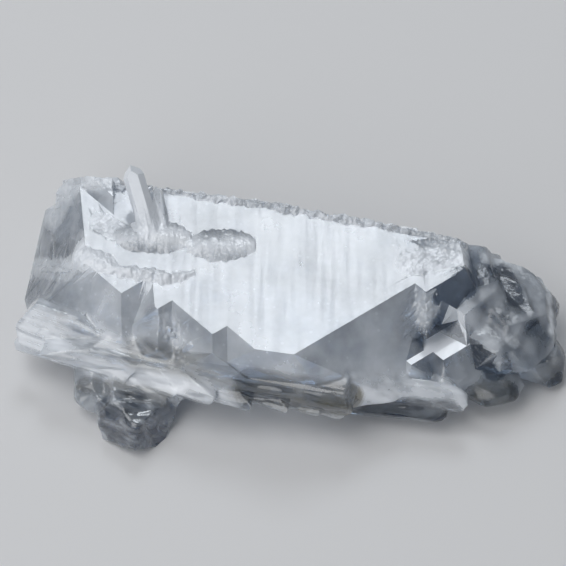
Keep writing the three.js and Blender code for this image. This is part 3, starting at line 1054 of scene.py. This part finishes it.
        # Every face is a triangle, so a side's face is its number divided by three.
        order = np.argsort(sides, kind="stable")
        found = sides[order]
        every = np.arange(len(mesh.edges))
        first = order[np.searchsorted(found, every, "left")] // 3
        last = order[np.searchsorted(found, every, "right") - 1] // 3
        normals = normals.reshape(-1, 3)
        turn = np.degrees(np.arccos(np.clip(np.sum(normals[first] * normals[last], axis=1), -1.0, 1.0)))
        tips = np.empty(len(mesh.loops), dtype=np.int64)
        mesh.loops.foreach_get("vertex_index", tips)
        still = plain[tips].reshape(-1, 3).all(axis=1)
        edge = still[first] != still[last]
        sharp = (turn > self.crease) | edge | (still[first] & (turn > self.facet))
        mesh.edges.foreach_set("use_edge_sharp", sharp)

    def dress(self, piece: bpy.types.Object) -> None:
        """Gives the piece its finish and its place in the frame.

        Args:
            piece: The piece.
        """
        piece.data.materials.clear()
        piece.data.materials.append(self.finish.build())
        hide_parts(NODE)
        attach(piece, "root")


@dataclass(frozen=True)
class Lamp:
    """A soft square lamp that looks at the studio's aim.

    Attributes:
        name: The lamp's name.
        azimuth: Where it hangs, degrees round from the front towards +X.
        elevation: How high it hangs, degrees above the level.
        distance: How far it hangs from the aim, in metres.
        size: The side of its face, in metres.
        power: In watts.
        tint: Its colour.
    """

    name: str
    azimuth: float
    elevation: float
    distance: float
    size: float
    power: float
    tint: Colour = (1.0, 1.0, 1.0)


LAMPS: tuple[Lamp, ...] = (
    Lamp("sky_panel", 192.0, 50.0, 1.0, 0.32, 1.7, (0.90, 0.95, 1.0)),
    Lamp("top_fill", -60.0, 66.0, 1.2, 0.9, 5.5),
    Lamp("front_fill", -25.0, 32.0, 1.2, 0.8, 3.0),
    Lamp("left_fill", -110.0, 38.0, 1.2, 0.5, 0.4),
)


@dataclass
class Studio:
    """The pale floor, the soft lights and the camera.

    Attributes:
        azimuth: Where the camera stands, degrees round from the front towards +X.
        elevation: How high it stands, degrees above the level.
        distance: How far it stands from its aim, in metres.
        aim: What the middle of the picture shows, in millimetres.
        width: What the picture's width shows at the aim, in millimetres.
        sensor: The width of the camera's sensor, in millimetres.
        lamps: The lamps. The level faces mirror the first one.
        floor_size: The side of the floor, in metres.
        floor_gap: How far the floor lies under the crystals, in millimetres.
        floor_colour: The floor's colour.
        floor_roughness: The floor's roughness.
        room_colour: The colour of the light from all round.
        room_strength: How strong that light is.
    """

    azimuth: float = 12.0
    elevation: float = 50.0
    distance: float = 0.6
    aim: Point = (-2.37, 6.38, 10.0)
    width: float = 89.13
    sensor: float = 36.0
    lamps: tuple[Lamp, ...] = LAMPS
    floor_size: float = 6.0
    floor_gap: float = 0.05
    floor_colour: Colour = (0.76, 0.76, 0.77)
    floor_roughness: float = 0.85
    room_colour: Colour = (0.92, 0.96, 1.0)
    room_strength: float = 0.2

    def build(self) -> None:
        """Sets the stage."""
        self.floor()
        for lamp in self.lamps:
            self.hang(lamp)
        self.camera()
        self.room()

    def direction(self, azimuth: float, elevation: float) -> Vector:
        """Gives the direction to a place seen from the object.

        Args:
            azimuth: Degrees round from the front towards +X.
            elevation: Degrees above the level.

        Returns:
            A unit vector.
        """
        a, e = math.radians(azimuth), math.radians(elevation)
        return Vector((math.sin(a) * math.cos(e), -math.cos(a) * math.cos(e), math.sin(e)))

    def floor(self) -> None:
        """Lays a plain pale floor just under the crystals."""
        bpy.ops.mesh.primitive_plane_add(size=self.floor_size, location=(0, 0, -self.floor_gap * MM))
        floor = bpy.context.active_object
        floor.name = "floor"
        paint = bpy.data.materials.new("pale_floor")
        paint.use_nodes = True
        shader = paint.node_tree.nodes["Principled BSDF"]
        shader.inputs["Base Color"].default_value = (*self.floor_colour, 1.0)
        shader.inputs["Roughness"].default_value = self.floor_roughness
        floor.data.materials.append(paint)

    def hang(self, lamp: Lamp) -> None:
        """Hangs a lamp so that it looks at the aim.

        Args:
            lamp: The lamp.
        """
        data = bpy.data.lights.new(lamp.name, "AREA")
        data.shape = "SQUARE"
        data.size = lamp.size
        data.energy = lamp.power
        data.color = lamp.tint
        hung = bpy.data.objects.new(lamp.name, data)
        bpy.context.scene.collection.objects.link(hung)
        toward = self.direction(lamp.azimuth, lamp.elevation)
        hung.location = Vector(self.aim) * MM + toward * lamp.distance
        hung.rotation_euler = toward.to_track_quat("Z", "Y").to_euler()

    def camera(self) -> None:
        """Stands the camera where the picture was taken from."""
        data = bpy.data.cameras.new("camera")
        data.sensor_width = self.sensor
        data.lens = self.sensor * self.distance / (self.width * MM)
        camera = bpy.data.objects.new("camera", data)
        bpy.context.scene.collection.objects.link(camera)
        back = self.direction(self.azimuth, self.elevation)
        camera.location = Vector(self.aim) * MM + back * self.distance
        camera.rotation_euler = (-back).to_track_quat("-Z", "Y").to_euler()
        bpy.context.scene.camera = camera

    def room(self) -> None:
        """Fills the room with weak even light."""
        world = bpy.data.worlds.new("room")
        world.use_nodes = True
        light = world.node_tree.nodes["Background"]
        light.inputs["Color"].default_value = (*self.room_colour, 1.0)
        light.inputs["Strength"].default_value = self.room_strength
        bpy.context.scene.world = world
        bpy.context.scene.view_settings.view_transform = "Standard"


def main() -> None:
    """Builds the cluster and its stage."""
    logging.basicConfig(level=logging.INFO, format="%(name)s: %(message)s")
    piece = QuartzCluster().build()
    LOG.info("%s: %d triangles", piece.name, len(piece.data.polygons))
    Studio().build()


if __name__ == "__main__":
    main()
